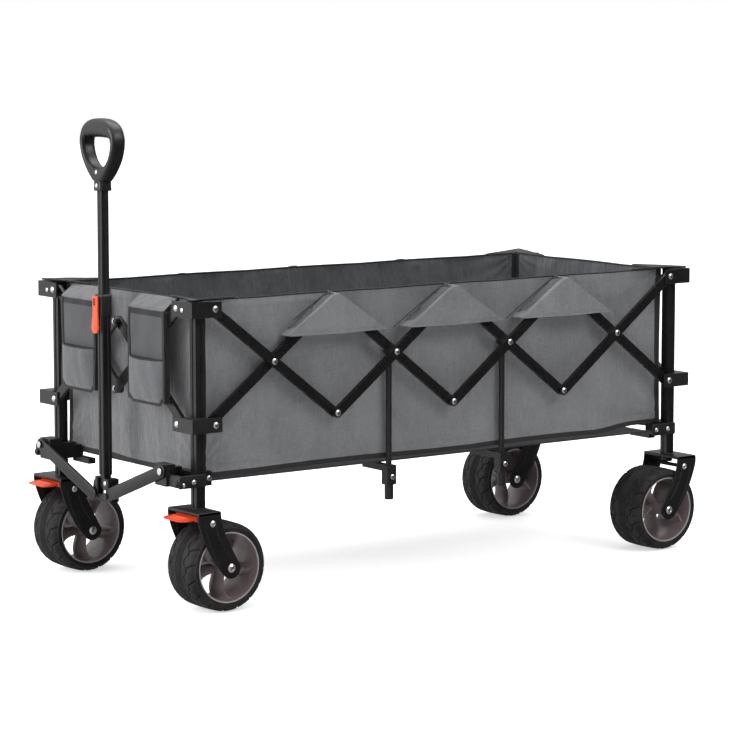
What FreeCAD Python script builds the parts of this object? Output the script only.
import FreeCAD, Part
import math
import os
import Sketcher

# Folding camp wagon, opened: four posts on forked wheels, scissor bars on all four sides, a
# fabric bin with a two-part floor, and an upright pull handle.
# Frame, in millimetres: origin on the ground under the wagon, +X to the rear, the handle at -X,
# +Y from the near side to the far side, +Z up. Pieces are given for the rear far corner, and the
# signs sx and sy mirror them about the centre planes.

Vector = FreeCAD.Vector
Rotation = FreeCAD.Rotation
os.makedirs("parts", exist_ok=True)
doc = FreeCAD.newDocument("camp_wagon")

# ---------------------------------------------------------------- driving dimensions
# A text starting with "=" is a spreadsheet formula over the aliases above it.
SIZES = {
    # shift of every piece, which centres the wagon's box and stands it on the ground
    "xshift": 13.0, "zshift": 5.0,
    # one half arm of a scissor bar; the end bars' inner half arm is a share of the outer one
    "arm_run": 144.0, "arm_rise": 111.0, "inner_share": 0.6,
    "bar_wide": 19.0, "bar_thick": 8.0,
    # rivets: shank, domed head outside, flat foot inside; head_gap also lies under pin heads
    "pin_rad": 3.0, "hole_rad": "=pin_rad+0.1", "head_rad": 6.0, "head_high": 2.4,
    "foot_rad": 4.6, "foot_high": 1.2, "head_gap": 0.2, "bar_gap": 0.15, "wing_gap": 0.1,
    # scissor pins at the posts
    "pin_down": 356.0, "pin_up": "=pin_down+2*arm_rise",
    "pin_x": "=4*arm_run", "pin_y": "=(1+inner_share)*arm_run",
    # inner faces of the bar layers along the sides (y) and across the ends (x)
    "layer_gap": 0.5, "layer_inner": 258.0,
    "layer_mid": "=layer_inner+bar_thick+layer_gap",
    "layer_outer": "=layer_mid+bar_thick+layer_gap",
    "end_inner": 609.5, "end_outer": "=end_inner+bar_thick+layer_gap",
    # corner posts
    "post_mid_x": 598.0, "post_mid_y": 256.0, "post_wide": 20.0,
    "post_low": 196.0, "post_high": 590.0, "flute_wide": 5.0, "flute_deep": 1.3,
    # corner brackets and sliders: inner and outer faces of their wings, gaps round the post
    "wing_y": 284.0, "corner_y": 287.0, "wing_x": 626.6, "corner_x": 629.5, "wing_past_pin": 14.0,
    "bracket_gap": 0.1, "bracket_drop": 16.0, "slider_gap": 0.4, "slider_half": 14.0,
    "clasp_low": 236.0, "clasp_high": 264.0,
    # wheels
    "wheel_rad": 87.0, "wheel_wide": 97.0, "rim_rad": 71.0, "window_rad": 12.5,
    "axle_z": 82.0, "trail": 40.0, "axle_rad": 6.0, "bore_rad": "=axle_rad+0.05",
    # forks; leg_in and leg_out are the leg faces from the wheel's mid plane
    "leg_in": 51.5, "leg_thick": 3.0, "leg_out": "=leg_in+leg_thick",
    "plate_low": 188.0, "plate_high": 194.0, "fork_end_rad": 18.0,
    "stem_rad": 8.0, "stem_bore": "=stem_rad+0.05", "stem_deep": 32.0, "bore_deep": 36.0,
    "bolt_rad": 4.0, "pedal_pin_rad": 2.5, "pedal_hole": "=pedal_pin_rad+0.1", "pedal_wide": 36.0,
    # upright rods
    "rod_x": "=arm_run", "rod_y": 255.0, "rod_rad": 6.0,
    # handle links
    "link_pin_y": 222.0, "link_pin_z": 267.0, "knuckle_pin_y": 20.0, "knuckle_pin_z": 192.0,
    "link_wide": 20.0, "link_thick": 6.0, "link_near_x": 655.0, "link_far_x": 662.0,
    "link_pin_rad": 4.0, "link_hole": "=link_pin_rad+0.1",
    # pull handle
    "handle_x": 648.0, "hinge_z": 208.0, "hinge_rad": 3.5, "hinge_bore": "=hinge_rad+0.1",
    "knuckle_half": 30.0, "low_tube_rad": 12.0, "up_tube_rad": 10.0,
    "tube_bore": "=up_tube_rad+0.1", "button_z": 566.0, "grip_thick": 28.0,
    # fabric bin and floor
    "bin_x": 586.0, "bin_y": 244.0, "bin_low": 266.0, "bin_high": 592.0, "cloth_thick": 3.0,
    "floor_x": 545.0, "floor_y": 236.0, "floor_low": 240.0, "floor_high": 246.0, "hem_rad": 2.9,
}
dims = doc.addObject("Spreadsheet::Sheet", "dims")
for row, (alias, content) in enumerate(SIZES.items(), 1):
    dims.set(f"A{row}", alias)
    dims.set(f"B{row}", str(content))
    dims.setAlias(f"B{row}", alias)
doc.recompute()
VALUES = {alias: float(dims.get(alias)) for alias in SIZES}

WAGON_ENDS = (("front", -1), ("rear", 1))
WAGON_SIDES = (("near", -1), ("far", 1))
CORNERS = [(f"{end}_{side}", sx, sy) for end, sx in WAGON_ENDS for side, sy in WAGON_SIDES]

nodes = []


# ---------------------------------------------------------------- binding and placing
# Sizes are numbers or expressions, in which "$alias" stands for a cell of the spreadsheet.
def expression(size):
    return str(size).replace("$", "dims.")


def value(size):
    """Number behind a plain number, "$alias", or "$alias" plus or minus a number."""
    text = str(size)
    if not text.startswith("$"):
        return float(text)
    for sign in "+-":
        alias, found, offset = text[1:].partition(sign)
        if found:
            return VALUES[alias] + float(sign + offset)
    return VALUES[text[1:]]


def bind(item, prop, size):
    item.setExpression(prop, expression(size))


def put(item, x, y, z, turn=None):
    item.Placement = FreeCAD.Placement(Vector(0, 0, 0), turn or Rotation())
    bind(item, "Placement.Base.x", f"({x})+$xshift")
    bind(item, "Placement.Base.y", y)
    bind(item, "Placement.Base.z", f"({z})+$zshift")


def mirrored(span, sign):
    if sign > 0:
        return span
    return f"-({span[1]})", f"-({span[0]})"


def offset_span(middle, low, high):
    return f"{middle}+({low})", f"{middle}+({high})"


def about(middle, reach):
    return offset_span(middle, f"-({reach})", reach)


# turns of a shape's own Z axis towards and against each axis of the frame
ALONG = {"x": Rotation(Vector(0, 1, 0), 90), "y": Rotation(Vector(1, 0, 0), -90), "z": Rotation()}
AGAINST = {"x": Rotation(Vector(0, 1, 0), -90), "y": Rotation(Vector(1, 0, 0), 90)}


def put_on_axis(item, axis, along, centre, sx, sy, turn):
    """Place at a signed coordinate along the axis; centre holds the two other coordinates."""
    if axis == "x":
        put(item, along, f"{sy}*({centre[0]})", centre[1], turn)
    elif axis == "y":
        put(item, f"{sx}*({centre[0]})", along, centre[1], turn)
    else:
        put(item, f"{sx}*({centre[0]})", f"{sy}*({centre[1]})", along, turn)


# ---------------------------------------------------------------- solids and sets
def box(name, x, y, z, sx=1, sy=1):
    item = doc.addObject("Part::Box", name)
    x = mirrored(x, sx)
    y = mirrored(y, sy)
    for prop, (low, high) in (("Length", x), ("Width", y), ("Height", z)):
        bind(item, prop, f"({high})-({low})")
    put(item, x[0], y[0], z[0])
    return item


def cylinder(name, axis, radius, span, centre, sx=1, sy=1):
    item = doc.addObject("Part::Cylinder", name)
    low, high = mirrored(span, {"x": sx, "y": sy, "z": 1}[axis])
    bind(item, "Radius", radius)
    bind(item, "Height", f"({high})-({low})")
    put_on_axis(item, axis, low, centre, sx, sy, ALONG[axis])
    return item


def dome(name, axis, face, centre, sx=1, sy=1, radius="$head_rad", high="$head_high"):
    """Sphere cap whose flat side lies at distance face, bulging away from the centre plane."""
    item = doc.addObject("Part::Sphere", name)
    sphere_radius = f"(({radius})*({radius})+({high})*({high}))/(2*({high}))"
    bind(item, "Radius", sphere_radius)
    rise = value(high)
    ball = (value(radius) ** 2 + rise ** 2) / (2 * rise)
    item.Angle1 = math.degrees(math.asin((ball - rise) / ball))
    sign = {"x": sx, "y": sy}[axis]
    turn = (ALONG if sign > 0 else AGAINST)[axis]
    along = f"{sign}*(({face})-(({sphere_radius})-({high})))"
    put_on_axis(item, axis, along, centre, sx, sy, turn)
    return item


def fuse(name, shapes):
    item = doc.addObject("Part::MultiFuse", name)
    item.Shapes = shapes
    return item


def cut(name, base, tool):
    item = doc.addObject("Part::Cut", name)
    item.Base = base
    item.Tool = tool
    return item


def finish(item, label):
    """Mark an object as one of the pieces to export."""
    item.Label = label
    nodes.append(item)


def finish_set(label, members):
    item = doc.addObject("Part::Compound", label + "_set")
    item.Links = members
    finish(item, label)


# ---------------------------------------------------------------- rivets and pins
def rivet(name, axis, centre, inner, outer, sx=1, sy=1):
    """Rivet through everything between an inner and an outer face."""
    foot_top = f"({inner})-$head_gap"
    shank = (f"{foot_top}-$foot_high+0.1", f"({outer})+0.2")
    foot = (f"{foot_top}-$foot_high", foot_top)
    return fuse(name, [
        cylinder(name + "_shank", axis, "$pin_rad", shank, centre, sx, sy),
        dome(name + "_dome", axis, outer, centre, sx, sy),
        cylinder(name + "_foot", axis, "$foot_rad", foot, centre, sx, sy)])


def two_headed_pin(name, radius, head_radius, head_high, middle, face, centre, sx):
    """Pin along Y through a part that reaches face on both sides of its middle."""
    head = (f"{face}+$head_gap", f"{face}+$head_gap+{head_high}")
    return fuse(name, [
        cylinder(name + "_rod", "y", radius, about(middle, f"{face}+2*$head_gap"), centre, sx),
        cylinder(name + "_head1", "y", head_radius, offset_span(middle, *head), centre, sx),
        cylinder(name + "_head2", "y", head_radius,
                 offset_span(middle, *mirrored(head, -1)), centre, sx)])


def link_pin(name, start, link_x, centre, head_radius, head_span, sy=1):
    """Rod and head of a pin along X through a handle link; head_span is past its outer face."""
    face = f"({link_x})+$link_thick"
    return [
        cylinder(name + "_rod", "x", "$link_pin_rad", (start, face + "+0.5"), centre, -1, sy),
        cylinder(name + "_head", "x", head_radius, offset_span(face, *head_span), centre, -1, sy)]


# ---------------------------------------------------------------- sketched bodies
def new_body(name, plane="XY_Plane"):
    body = doc.addObject("PartDesign::Body", name)
    sketch = body.newObject("Sketcher::SketchObject", name + "_outline")
    support = [feature for feature in body.Origin.OriginFeatures if feature.Role == plane][0]
    sketch.AttachmentSupport = [(support, "")]
    sketch.MapMode = "FlatFace"
    return body, sketch


def constrain_size(sketch, kind, places, number, size):
    """Add a dimension, bound to the spreadsheet where its size is an expression."""
    index = sketch.addConstraint(Sketcher.Constraint(kind, *places, number))
    if isinstance(size, str):
        bind(sketch, f"Constraints[{index}]", size)


def draw_outline(sketch, points):
    """Closed outline through points (x, y), all positive, each held by its two distances."""
    first = sketch.GeometryCount
    count = len(points)
    corners = [Vector(value(x), value(y), 0) for x, y in points]
    for i in range(count):
        sketch.addGeometry(Part.LineSegment(corners[i], corners[(i + 1) % count]), False)
    for i in range(count):
        following = first + (i + 1) % count
        sketch.addConstraint(Sketcher.Constraint("Coincident", first + i, 2, following, 1))
    for i, (x, y) in enumerate(points):
        places = (-1, 1, first + i, 1)
        constrain_size(sketch, "DistanceX", places, value(x), x)
        constrain_size(sketch, "DistanceY", places, value(y), y)


def pad(body, sketch, length):
    feature = body.newObject("PartDesign::Pad", body.Name + "_pad")
    feature.Profile = sketch
    bind(feature, "Length", length)
    sketch.Visibility = False


def bar_body(name, pivots, wide="$bar_wide", thick="$bar_thick", hole="$hole_rad"):
    """Flat bar with round ends. Its first pivot is at the body's origin and the others follow
    along +X; pivots lists their distances as (number, expression)."""
    body, sketch = new_body(name)
    half = value(wide) / 2
    length, length_size = pivots[-1]
    z_axis = Vector(0, 0, 1)
    quarter = math.pi / 2
    start_circle = Part.Circle(Vector(0, 0, 0), z_axis, half)
    end_circle = Part.Circle(Vector(length, 0, 0), z_axis, half)
    outline = [
        Part.ArcOfCircle(start_circle, quarter, 3 * quarter),
        Part.LineSegment(Vector(0, -half, 0), Vector(length, -half, 0)),
        Part.ArcOfCircle(end_circle, -quarter, quarter),
        Part.LineSegment(Vector(length, half, 0), Vector(0, half, 0))]
    edges = [sketch.addGeometry(edge, False) for edge in outline]
    for i in range(4):
        sketch.addConstraint(Sketcher.Constraint("Tangent", edges[i], 2, edges[(i + 1) % 4], 1))
    sketch.addConstraint(Sketcher.Constraint("Coincident", edges[0], 3, -1, 1))
    sketch.addConstraint(Sketcher.Constraint("PointOnObject", edges[2], 3, -1))
    constrain_size(sketch, "Radius", (edges[0],), half, f"({wide})/2")
    constrain_size(sketch, "DistanceX", (-1, 1, edges[2], 3), length, length_size)
    for distance, size in [(0, None)] + pivots:
        circle = Part.Circle(Vector(distance, 0, 0), z_axis, value(hole))
        edge = sketch.addGeometry(circle, False)
        constrain_size(sketch, "Radius", (edge,), value(hole), hole)
        if size is None:
            sketch.addConstraint(Sketcher.Constraint("Coincident", edge, 3, -1, 1))
        else:
            sketch.addConstraint(Sketcher.Constraint("PointOnObject", edge, 3, -1))
            constrain_size(sketch, "DistanceX", (-1, 1, edge, 3), distance, size)
    pad(body, sketch, thick)
    return body


def turned_wheel_part(name, profile, sx, middle):
    """Profile of (radius, distance across the wheel) turned about the axle."""
    body, sketch = new_body(name)
    draw_outline(sketch, profile)
    revolution = body.newObject("PartDesign::Revolution", name + "_revolution")
    revolution.Profile = sketch
    revolution.ReferenceAxis = (sketch, ["V_Axis"])
    revolution.Angle = 360
    sketch.Visibility = False
    put(body, f"{sx}*({AXLE_X})", f"{middle}-$wheel_wide/2", "$axle_z")
    return body


# ---------------------------------------------------------------- scissor bars
ALONG_SIDE = Rotation(Vector(1, 0, 0), 90)       # bar along +X, thickness towards -Y
ACROSS_END = Rotation(Vector(1, 1, 1), 120)      # bar along +Y, thickness towards +X
BAR_SLOPE = math.degrees(math.atan2(VALUES["arm_rise"], VALUES["arm_run"]))
HALF_ARM = math.hypot(VALUES["arm_run"], VALUES["arm_rise"])
HALF_ARM_SIZE = "sqrt($arm_run*$arm_run+$arm_rise*$arm_rise)"

INNER, MIDDLE, OUTER = "$layer_inner", "$layer_mid", "$layer_outer"
MIDDLE_Z = "$pin_down+$arm_rise"
# inner and outer faces of the layer pairs that a rivet joins
INNER_PAIR = (INNER, MIDDLE + "+$bar_thick+$bar_gap")
OUTER_PAIR = (MIDDLE, OUTER + "+$bar_thick+$bar_gap")
END_PAIR = ("$end_inner", "$end_outer+$bar_thick+$bar_gap")

# Bays from front to rear: layer of the rising bar, then the rivets kept with the falling bar,
# each as (half arms from the front pins, height, layer pair).
SIDE_BAYS = [
    (INNER, [(1, MIDDLE_Z, INNER_PAIR), (2, "$pin_down", OUTER_PAIR)]),
    (OUTER, [(2, "$pin_up", INNER_PAIR), (4, "$pin_down", OUTER_PAIR)]),
    (OUTER, [(4, "$pin_up", OUTER_PAIR), (6, "$pin_down", OUTER_PAIR)]),
    (OUTER, [(6, "$pin_up", OUTER_PAIR), (7, MIDDLE_Z, OUTER_PAIR)]),
]


def finish_bar(name, bar, axis, rivets, sx=1, sy=1):
    """Rivets are (centre, face pair); a bar without rivets stands alone."""
    if not rivets:
        finish(bar, name)
        return
    finish_set(name, [bar] + [
        rivet(f"{name}_rivet{i}", axis, centre, *faces, sx, sy)
        for i, (centre, faces) in enumerate(rivets, 1)])


def side_x(half_arms):
    return f"-$pin_x+{half_arms}*$arm_run"


def side_bar(name, falls, bay, layer, sy, rivets=()):
    """Bar of a long side that falls or rises towards the rear."""
    bar = bar_body(name + "_bar", [(HALF_ARM, HALF_ARM_SIZE), (2 * HALF_ARM, "2*" + HALF_ARM_SIZE)])
    turn = Rotation(Vector(0, 1, 0), BAR_SLOPE if falls else -BAR_SLOPE).multiply(ALONG_SIDE)
    y = f"-({layer})" if sy < 0 else f"({layer})+$bar_thick"
    put(bar, side_x(2 * bay), y, "$pin_up" if falls else "$pin_down", turn)
    finish_bar(name, bar, "y", [((side_x(arms), z), pair) for arms, z, pair in rivets], 1, sy)


def end_bar(name, y, z, falls, long_first, layer, sx, rivets=()):
    """Bar of an end that falls or rises towards +Y, its long or short half arm first."""
    share = VALUES["inner_share"]
    pivot = (share * HALF_ARM, "$inner_share*" + HALF_ARM_SIZE)
    if long_first:
        pivot = (HALF_ARM, HALF_ARM_SIZE)
    tip = ((1 + share) * HALF_ARM, "(1+$inner_share)*" + HALF_ARM_SIZE)
    bar = bar_body(name + "_bar", [pivot, tip])
    turn = Rotation(Vector(1, 0, 0), -BAR_SLOPE if falls else BAR_SLOPE).multiply(ACROSS_END)
    put(bar, layer if sx > 0 else f"-({layer})-$bar_thick", y, z, turn)
    finish_bar(name, bar, "x", [(centre, END_PAIR) for centre in rivets], sx)


for side, sy in WAGON_SIDES:
    for bay, (rising_layer, rivets) in enumerate(SIDE_BAYS):
        side_bar(f"{side}_bar_a{bay + 1}", True, bay, MIDDLE, sy, rivets)
        side_bar(f"{side}_bar_b{bay + 1}", False, bay, rising_layer, sy)

# heights at which the end bars meet on the centre plane
MEET_LOW = "$pin_up-(1+$inner_share)*$arm_rise"
MEET_HIGH = "$pin_down+(1+$inner_share)*$arm_rise"
for end, sx in WAGON_ENDS:
    end_bar(end + "_bar_c1", "-$pin_y", "$pin_up", True, True, "$end_outer", sx,
            [("-$pin_y+$arm_run", MIDDLE_Z), ("0", MEET_LOW)])
    end_bar(end + "_bar_d1", "-$pin_y", "$pin_down", False, True, "$end_inner", sx)
    end_bar(end + "_bar_c2", "0", MEET_HIGH, True, False, "$end_outer", sx,
            [("0", MEET_HIGH), ("$pin_y-$arm_run", MIDDLE_Z)])
    end_bar(end + "_bar_d2", "0", MEET_LOW, False, False, "$end_inner", sx)

# ---------------------------------------------------------------- corner posts and sliders
# post faces towards the wagon's middle and away from it
POST_X_IN, POST_X_OUT = "$post_mid_x-$post_wide/2", "$post_mid_x+$post_wide/2"
POST_Y_IN, POST_Y_OUT = "$post_mid_y-$post_wide/2", "$post_mid_y+$post_wide/2"
CLASP_Z = ("$clasp_low", "$clasp_high")
FLOOR_ARM_Y, FLOOR_ARM_Z = (168, "$pin_y"), (226, 237)
# front brackets' forward reach and the block in front of it that carries a handle link
REACH_Y, REACH_FRONT, REACH_TOP = (192, 206), 637, 270
BLOCK_BACK, BLOCK_TOP, REACH_BOTTOM, LINK_PIN_START = 633.5, 280, 238, 640


def corner_shell(name, z, gap, pin_z, sx, sy, extra=()):
    """L-shaped block round the post's outer corner with a thin wing over each row of bars,
    drilled for the two scissor pins."""
    wing_x = (f"$pin_x-$wing_past_pin", POST_X_IN + "+3")
    shell = fuse(name + "_shell", [
        box(name + "_a", (POST_X_IN + "+2", "$corner_x"),
            (f"{POST_Y_OUT}+{gap}", "$corner_y"), z, sx, sy),
        box(name + "_b", (f"{POST_X_OUT}+{gap}", "$corner_x"),
            (POST_Y_IN + "-1", "$corner_y"), z, sx, sy),
        box(name + "_c", wing_x, ("$wing_y", "$corner_y"), z, sx, sy),
        box(name + "_d", ("$wing_x", "$corner_x"),
            ("$pin_y-$wing_past_pin", POST_Y_IN), z, sx, sy),
        *extra])
    holes = fuse(name + "_holes", [
        cylinder(name + "_hole1", "y", "$hole_rad", ("$wing_y-5", "$corner_y+5"),
                 ("$pin_x", pin_z), sx, sy),
        cylinder(name + "_hole2", "x", "$hole_rad", ("$wing_x-5", "$corner_x+5"),
                 ("$pin_y", pin_z), sx, sy)])
    return cut(name + "_drilled", shell, holes)


def corner_pins(name, pin_z, side_layer, end_layer, sx, sy):
    return [
        rivet(name + "_pin1", "y", ("$pin_x", pin_z), side_layer, "$corner_y+$wing_gap", sx, sy),
        rivet(name + "_pin2", "x", ("$pin_y", pin_z), end_layer, "$corner_x+$wing_gap", sx, sy)]


def post_tube(name, sx, sy):
    """Square tube with a shallow flute down each face and a bore for the fork stem."""
    blank = box(name + "_blank", (POST_X_IN, POST_X_OUT), (POST_Y_IN, POST_Y_OUT),
                ("$post_low", "$post_high"), sx, sy)
    tools = [cylinder(name + "_bore", "z", "$stem_bore", ("$post_low-1", "$post_low+$bore_deep"),
                      ("$post_mid_x", "$post_mid_y"), sx, sy)]
    middle_x = ("$post_mid_x-$flute_wide/2", "$post_mid_x+$flute_wide/2")
    middle_y = ("$post_mid_y-$flute_wide/2", "$post_mid_y+$flute_wide/2")
    flutes = [
        (middle_x, (POST_Y_OUT + "-$flute_deep", POST_Y_OUT + "+1")),
        (middle_x, (POST_Y_IN + "-1", POST_Y_IN + "+$flute_deep")),
        ((POST_X_OUT + "-$flute_deep", POST_X_OUT + "+1"), middle_y),
        ((POST_X_IN + "-1", POST_X_IN + "+$flute_deep"), middle_y)]
    for i, (x, y) in enumerate(flutes, 1):
        tools.append(box(f"{name}_flute{i}", x, y, ("$post_low-1", "$post_high+1"), sx, sy))
    return cut(name + "_tube", blank, fuse(name + "_tools", tools))


def bottom_bracket(name, sx, sy):
    """Clasps the inner faces of the tube; a short arm reaches under the floor."""
    parts = [
        box(name + "_low_a", ("$pin_x-10", POST_X_IN + "-$bracket_gap"),
            ("$pin_y-8", "$layer_inner-3"), CLASP_Z, sx, sy),
        box(name + "_low_b", (POST_X_IN + "-1", "$end_inner-4.5"),
            ("$pin_y-8", POST_Y_IN + "-$bracket_gap"), CLASP_Z, sx, sy),
        box(name + "_low_arm", ("$pin_x-6", "$pin_x+10"), FLOOR_ARM_Y, FLOOR_ARM_Z, sx, sy)]
    if sx < 0:
        # the front brackets reach forward past the end bars to carry the handle's links
        link_x = "$link_far_x" if sy > 0 else "$link_near_x"
        parts += [
            box(name + "_reach_a", (POST_X_IN, "$end_inner-4.5"), (REACH_Y[0], "$pin_y-6"),
                (REACH_BOTTOM, "$clasp_high"), sx, sy),
            box(name + "_reach_b", ("$end_inner-8", REACH_FRONT), REACH_Y,
                (REACH_BOTTOM, REACH_TOP), sx, sy),
            box(name + "_block", (BLOCK_BACK, link_x + "-0.5"), (REACH_Y[0], "$link_pin_y+10"),
                (REACH_BOTTOM, BLOCK_TOP), sx, sy),
            *link_pin(name + "_linkpin", LINK_PIN_START, link_x, ("$link_pin_y", "$link_pin_z"),
                      8, (0.2, 3), sy)]
    return fuse(name + "_bottom", parts)


def post(corner, sx, sy):
    name = "post_" + corner
    cap = box(name + "_cap", (POST_X_IN + "-1", "$corner_x"), (POST_Y_IN + "-1", "$corner_y"),
              ("$post_high+$bracket_gap", "$post_high+3"), sx, sy)
    top = corner_shell(name + "_top", ("$pin_up-$bracket_drop", "$post_high+2"), "$bracket_gap",
                       "$pin_up", sx, sy, [cap])
    side_layer = MIDDLE if sx < 0 else OUTER
    end_layer = "$end_outer" if sy < 0 else "$end_inner"
    finish_set(name, [post_tube(name, sx, sy), top, bottom_bracket(name, sx, sy),
                      *corner_pins(name, "$pin_up", side_layer, end_layer, sx, sy)])


def slider(corner, sx, sy):
    """Runs on the outer faces of the post as the scissors close."""
    name = "slider_" + corner
    shell = corner_shell(name, ("$pin_down-$slider_half", "$pin_down+$slider_half"),
                         "$slider_gap", "$pin_down", sx, sy)
    side_layer = INNER if sx < 0 else MIDDLE
    end_layer = "$end_inner" if sy < 0 else "$end_outer"
    finish_set(name, [shell, *corner_pins(name, "$pin_down", side_layer, end_layer, sx, sy)])


# ---------------------------------------------------------------- forks, pedals and wheels
AXLE_X = "$post_mid_x-$trail"
AXLE = (AXLE_X, "$axle_z")
CROSS_BOLT = ("$post_mid_x+2", 172)
PEDAL_PIN = ("$post_mid_x+24", 180)
LEG_CORNER = 40      # origin of the leg outline, outboard of the post's centre line

# leg outline: distance inboard from the leg corner, height above the ground
LEG_OUTLINE = [
    (5, "$plate_high"), (58, "$plate_high"), (70, 160), ("$trail+58", 88), ("$trail+57", 78),
    ("$trail+23", 78), (18, 138), (5, 166)]
# wheel profiles: radius, distance across the wheel from its -Y face
RIM_PROFILE = [
    ("$bore_rad", 3.5), (15, 3.5), (15, 40.5), (61, 40.5), (61, 4.5), ("$rim_rad", 4.5),
    ("$rim_rad", "$wheel_wide-4.5"), (61, "$wheel_wide-4.5"), (61, 56.5), (15, 56.5),
    (15, "$wheel_wide-3.5"), ("$bore_rad", "$wheel_wide-3.5")]
TYRE_PROFILE = [
    ("$rim_rad+0.1", 2.5), (75, 0.8), (80.5, 1.6), (84.5, 5), ("$wheel_rad", 14),
    ("$wheel_rad", "$wheel_wide-14"), (84.5, "$wheel_wide-5"), (80.5, "$wheel_wide-1.6"),
    (75, "$wheel_wide-0.8"), ("$rim_rad+0.1", "$wheel_wide-2.5")]
WINDOW_COUNT, WINDOW_RING, WINDOW_START = 5, 37, 18      # number, ring radius, first angle


def fork_leg(name, low, high, middle, sx):
    # the pad of a front leg grows towards -Y, the turned pad of a rear leg towards +Y
    body, sketch = new_body(name, "XZ_Plane")
    draw_outline(sketch, LEG_OUTLINE)
    pad(body, sketch, "$leg_thick")
    turn = Rotation() if sx < 0 else Rotation(Vector(0, 0, 1), 180)
    start = high if sx < 0 else low
    put(body, f"{sx}*($post_mid_x+{LEG_CORNER})", f"{middle}+({start})", 0, turn)
    return body


def fork(corner, sx, middle):
    """Top plate, two tapering legs and swivel stem, with loose axle and cross bolt."""
    name = "fork_" + corner
    leg_spans = (("$leg_in", "$leg_out"), ("-$leg_out", "-$leg_in"))
    frame = [fork_leg(f"{name}_leg{i}", low, high, middle, sx)
             for i, (low, high) in enumerate(leg_spans, 1)]
    frame.append(box(name + "_plate", ("$post_mid_x-18", "$post_mid_x+35"),
                     about(middle, "$leg_out"), ("$plate_low", "$plate_high"), sx))
    for i, (low, high) in enumerate(leg_spans, 1):
        frame.append(cylinder(f"{name}_end{i}", "y", "$fork_end_rad",
                              offset_span(middle, low, high), AXLE, sx))
    frame.append(cylinder(name + "_stem", "z", "$stem_rad",
                          ("$plate_low", "$post_low+$stem_deep"), ("$post_mid_x", middle), sx))
    holes = (("$axle_rad+0.1", AXLE), ("$bolt_rad+0.1", CROSS_BOLT), ("$pedal_hole", PEDAL_PIN))
    drills = [cylinder(f"{name}_drill{i}", "y", radius, about(middle, 60), centre, sx)
              for i, (radius, centre) in enumerate(holes, 1)]
    pieces = [
        cut(name + "_drilled", fuse(name + "_frame", frame), fuse(name + "_drills", drills)),
        two_headed_pin(name + "_axle", "$axle_rad", 9, 3.2, middle, "$leg_out", AXLE, sx),
        two_headed_pin(name + "_bolt", "$bolt_rad", 6.5, 2.8, middle, "$leg_out", CROSS_BOLT, sx)]
    if sx < 0:
        pieces.append(cylinder(name + "_pedal_pin", "y", "$pedal_pin_rad",
                               about(middle, "$leg_out"), PEDAL_PIN, sx))
    finish_set(name, pieces)


def brake_pedal(side, sx, middle):
    """Plate and barrel between the legs of a front fork."""
    name = "brake_pedal_" + side
    width = about(middle, "$pedal_wide")
    blank = fuse(name + "_blank", [
        box(name + "_plate", ("$post_mid_x+28", "$post_mid_x+62"), width, (177.5, 183), sx),
        cylinder(name + "_barrel", "y", 5, width, PEDAL_PIN, sx)])
    hole = cylinder(name + "_hole", "y", "$pedal_hole", about(middle, 40), PEDAL_PIN, sx)
    finish(cut(name + "_cut", blank, hole), name)


def rim(corner, sx, middle):
    """Hub, web and tyre seat in one piece, with round windows through the web."""
    name = "rim_" + corner
    body = turned_wheel_part(name + "_turned", RIM_PROFILE, sx, middle)
    windows = []
    for i in range(WINDOW_COUNT):
        angle = math.radians(360 / WINDOW_COUNT * i + WINDOW_START)
        centre = (f"{AXLE_X}+{WINDOW_RING * math.cos(angle):.4f}",
                  f"$axle_z+{WINDOW_RING * math.sin(angle):.4f}")
        windows.append(cylinder(f"{name}_window{i + 1}", "y", "$window_rad",
                                about(middle, 20), centre, sx))
    finish(cut(name + "_cut", body, fuse(name + "_windows", windows)), name)


for corner, sx, sy in CORNERS:
    middle = f"{sy}*$post_mid_y"
    post(corner, sx, sy)
    slider(corner, sx, sy)
    fork(corner, sx, middle)
    if sx < 0:
        brake_pedal("near" if sy < 0 else "far", sx, middle)
    rim(corner, sx, middle)
    finish(turned_wheel_part("tyre_" + corner, TYRE_PROFILE, sx, middle), "tyre_" + corner)


# ---------------------------------------------------------------- upright rods
ROD_BOTTOM = 230
ROD_FOOT_Y, ROD_FOOT_Z = (246, 266), (198, 237)
ROD_ARM_Y, ROD_ARM_Z = (176, 248), (224, 237)
ROD_KNOB_Y, ROD_KNOB_Z = 256, (168, 200)
ROD_BOLT_Z = 214


def upright_rod(name, sx, sy):
    """Rod riveted to a crossing of the side bars, with a foot, a knob and an inward arm."""
    crossing = ("$rod_x", MIDDLE_Z)
    eye_y = ("$rod_y-$rod_rad-1", "$rod_y+$rod_rad+1")
    rod = fuse(name + "_rod", [
        cylinder(name + "_upright", "z", "$rod_rad", (ROD_BOTTOM, MIDDLE_Z),
                 ("$rod_x", "$rod_y"), sx, sy),
        cylinder(name + "_eye", "y", 9, eye_y, crossing, sx, sy),
        box(name + "_foot", ("$rod_x-11", "$rod_x+11"), ROD_FOOT_Y, ROD_FOOT_Z, sx, sy),
        cylinder(name + "_knob", "z", 9, ROD_KNOB_Z, ("$rod_x", ROD_KNOB_Y), sx, sy),
        box(name + "_arm", ("$rod_x-8", "$rod_x+8"), ROD_ARM_Y, ROD_ARM_Z, sx, sy)])
    hole = cylinder(name + "_hole", "y", "$hole_rad", (240, 270), crossing, sx, sy)
    bolt_centre = ("$rod_x", ROD_BOLT_Z)
    bolt = fuse(name + "_bolt", [
        cylinder(name + "_bolt_a", "y", 5, (266.1, 269), bolt_centre, sx, sy),
        dome(name + "_bolt_b", "y", 268.9, bolt_centre, sx, sy, radius=5, high=1.5)])
    finish_set(name, [
        cut(name + "_drilled", rod, hole), bolt,
        rivet(name + "_rivet", "y", crossing, eye_y[0], OUTER_PAIR[1], sx, sy)])


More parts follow.
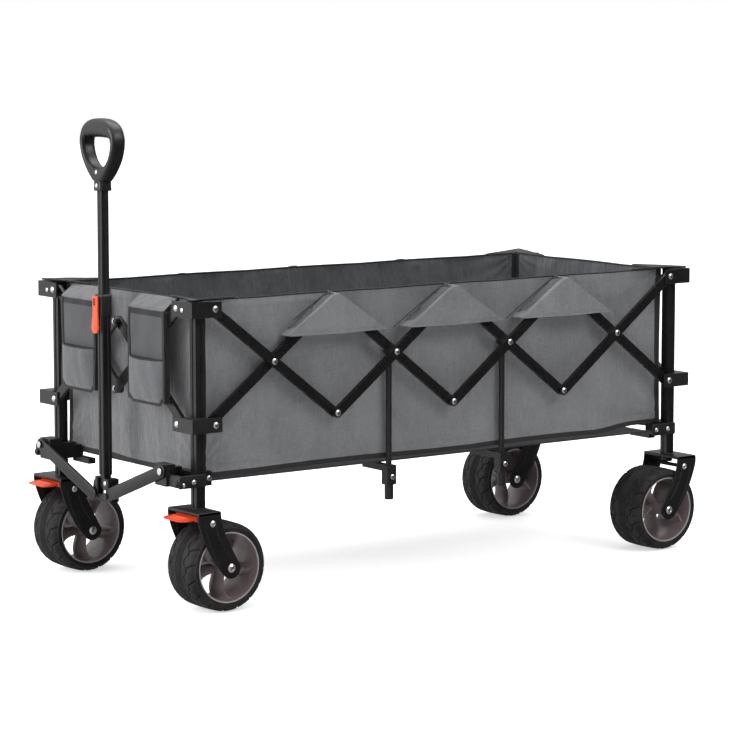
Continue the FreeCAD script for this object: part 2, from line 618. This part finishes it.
for side, sy in WAGON_SIDES:
    for end, sx in WAGON_ENDS:
        upright_rod(f"rod_{side}_{end}", sx, sy)

# ---------------------------------------------------------------- pull handle
HANDLE = "$handle_x"
HINGE = (HANDLE, "$hinge_z")
TUBE_AXIS = (HANDLE, 0)
UPPER_TUBE_TOP = 800
COLLAR_TOP = 588
GRIP_CORNER_Y, GRIP_CORNER_Z = -70, 780

# grip outlines: distances towards +Y and up from the grip corner
GRIP_OUTSIDE = [
    (56, 42), (84, 42), (118, 52), (133, 70), (134, 128), (126, 142),
    (108, 150), (32, 150), (14, 142), (6, 128), (7, 70), (22, 52)]
GRIP_OPENING = [
    (58, 58), (82, 58), (108, 66), (117, 78), (118, 118),
    (110, 126), (30, 126), (22, 118), (23, 78), (32, 66)]


def links():
    """Two flat links from the front brackets down to the knuckle."""
    run, rise = "($link_pin_y-$knuckle_pin_y)", "($link_pin_z-$knuckle_pin_z)"
    run_value = VALUES["link_pin_y"] - VALUES["knuckle_pin_y"]
    rise_value = VALUES["link_pin_z"] - VALUES["knuckle_pin_z"]
    slope = math.degrees(math.atan2(rise_value, run_value))
    pivots = [(math.hypot(run_value, rise_value), f"sqrt({run}*{run}+{rise}*{rise})")]
    shape = ("$link_wide", "$link_thick", "$link_hole")

    near = bar_body("handle_link_near", pivots, *shape)
    put(near, "-$link_near_x-$link_thick", "-$link_pin_y", "$link_pin_z",
        Rotation(Vector(1, 0, 0), -slope).multiply(ACROSS_END))
    finish(near, "handle_link_near")

    far = bar_body("handle_link_far_bar", pivots, *shape)
    put(far, "-$link_far_x-$link_thick", "$knuckle_pin_y", "$knuckle_pin_z",
        Rotation(Vector(1, 0, 0), slope).multiply(ACROSS_END))
    bolt = fuse("handle_link_far_bolt", link_pin(
        "far_bolt", "$link_far_x+0.2", "$link_far_x", ("$knuckle_pin_y", "$knuckle_pin_z"),
        6.5, (0.2, 2.6)))
    finish_set("handle_link_far", [far, bolt])


def knuckle():
    """Slotted block with the near link's pin, and the hinge pin of the tube."""
    block = box("knuckle_blank", (HANDLE + "-11.6", HANDLE + "+6.4"),
                ("-$knuckle_half", "$knuckle_half"), (180, 226), -1)
    tools = fuse("knuckle_tools", [
        box("knuckle_slot", (HANDLE + "-20", HANDLE + "+20"), (-8.3, 8.3), (194, 240), -1),
        cylinder("knuckle_bore", "y", "$hinge_bore", (-40, 40), HINGE, -1)])
    body = fuse("knuckle_body", [
        cut("knuckle_cut", block, tools),
        *link_pin("knuckle_pin", HANDLE, "$link_near_x", ("-$knuckle_pin_y", "$knuckle_pin_z"),
                  7, (0.3, 2.6))])
    hinge_pin = two_headed_pin("hinge_pin", "$hinge_rad", 6, 2.4, "0", "$knuckle_half", HINGE, -1)
    finish_set("handle_knuckle", [body, hinge_pin])


def lower_tube():
    """Tube with a hinged tongue below and a collar on top."""
    blank = fuse("low_tube_blank", [
        cylinder("low_tube_round", "z", "$low_tube_rad", (232, 546), TUBE_AXIS, -1),
        box("low_tube_tongue", (HANDLE + "-8", HANDLE + "+8"), (-8, 8), ("$hinge_z", 234), -1),
        cylinder("low_tube_eye", "y", 8, (-8, 8), HINGE, -1)])
    tube = cut("low_tube_cut", blank, fuse("low_tube_tools", [
        cylinder("low_tube_bore", "z", "$tube_bore", (242, 550), TUBE_AXIS, -1),
        cylinder("low_tube_pin_hole", "y", "$hinge_bore", (-12, 12), HINGE, -1)]))
    block = box("collar_block", (HANDLE + "-11", HANDLE + "+13"), (-14, 14),
                (546.1, COLLAR_TOP), -1)
    collar = cut("collar_cut", block, fuse("collar_tools", [
        cylinder("collar_bore", "z", "$tube_bore", (540, COLLAR_TOP + 2), TUBE_AXIS, -1),
        cylinder("collar_button_hole", "x", 3.1, (HANDLE + "+9", HANDLE + "+14"),
                 (0, "$button_z"), -1)]))
    finish_set("handle_lower_tube", [tube, collar])


def upper_tube():
    name = "handle_upper_tube"
    span = (443, UPPER_TUBE_TOP)
    finish(cylinder(name, "z", "$up_tube_rad", span, TUBE_AXIS, -1), name)


def grip():
    """Closed D-shaped loop on a neck bored for the upper tube."""
    loop, sketch = new_body("grip_loop")
    draw_outline(sketch, GRIP_OUTSIDE)
    draw_outline(sketch, GRIP_OPENING)
    pad(loop, sketch, "$grip_thick")
    put(loop, f"-{HANDLE}-$grip_thick/2", GRIP_CORNER_Y, GRIP_CORNER_Z, ACROSS_END)
    neck = box("grip_neck", (HANDLE + "-14", HANDLE + "+14"), (-15, 15), (791, 824), -1)
    bore = cylinder("grip_bore", "z", "$up_tube_rad+0.05", (780, UPPER_TUBE_TOP + 0.1),
                    TUBE_AXIS, -1)
    finish(cut("grip_cut", fuse("grip_all", [loop, neck]), bore), "handle_grip")


def release_button():
    """Slotted plate in front of the collar, with a stub facing the collar's hole."""
    blank = fuse("button_blank", [
        box("button_plate", (HANDLE + "+16.6", HANDLE + "+21.5"), (-8.5, 8.5), (512, 586), -1),
        cylinder("button_stub", "x", 3, (HANDLE + "+13.2", HANDLE + "+17.5"),
                 (0, "$button_z"), -1)])
    slot = box("button_slot", (HANDLE + "+18.6", HANDLE + "+24"), (-3, 3), (572, 582), -1)
    finish(cut("button_cut", blank, slot), "handle_release_button")


links()
knuckle()
lower_tube()
upper_tube()
grip()
release_button()

# ---------------------------------------------------------------- fabric
POCKET_X, POCKET_Z = (631, 645), (380, 590)


def fabric_bin():
    """Four cloth walls, and two pockets outside the front end."""
    outside = box("bin_outer", ("-$bin_x", "$bin_x"), ("-$bin_y", "$bin_y"),
                  ("$bin_low", "$bin_high"))
    inside = box("bin_inner", ("-$bin_x+$cloth_thick", "$bin_x-$cloth_thick"),
                 ("-$bin_y+$cloth_thick", "$bin_y-$cloth_thick"), ("$bin_low-1", "$bin_high+1"))
    finish_set("fabric_bin", [
        cut("bin_walls", outside, inside),
        box("pocket_near", POCKET_X, (-196, -66), POCKET_Z, -1),
        box("pocket_far", POCKET_X, (58, 188), POCKET_Z, -1)])


def floor_half(side, sy):
    """Stiffened panel that turns about a rod sewn into its outer hem."""
    name = f"floor_{side}_half"
    length = ("-$floor_x", "$floor_x")
    panel = box(name + "_panel", length, (1.5, "$floor_y"), ("$floor_low", "$floor_high"), 1, sy)
    hem = cylinder(name + "_hem", "x", "$hem_rad", length,
                   ("$floor_y", "($floor_low+$floor_high)/2"), 1, sy)
    finish(fuse(name + "_join", [panel, hem]), name)


fabric_bin()
for side, sy in WAGON_SIDES:
    floor_half(side, sy)

# ---------------------------------------------------------------- check and write
doc.recompute()
failed = [item.Name for item in doc.Objects if "Invalid" in item.State or "Error" in item.State]
if failed:
    raise RuntimeError(f"failed objects: {failed}")
for item in nodes:
    if item.Shape.isNull() or not item.Shape.isValid() or not item.Shape.Solids:
        raise RuntimeError(f"bad shape: {item.Label}")
for item in nodes:
    item.Shape.exportStep(f"parts/{item.Label}.step")
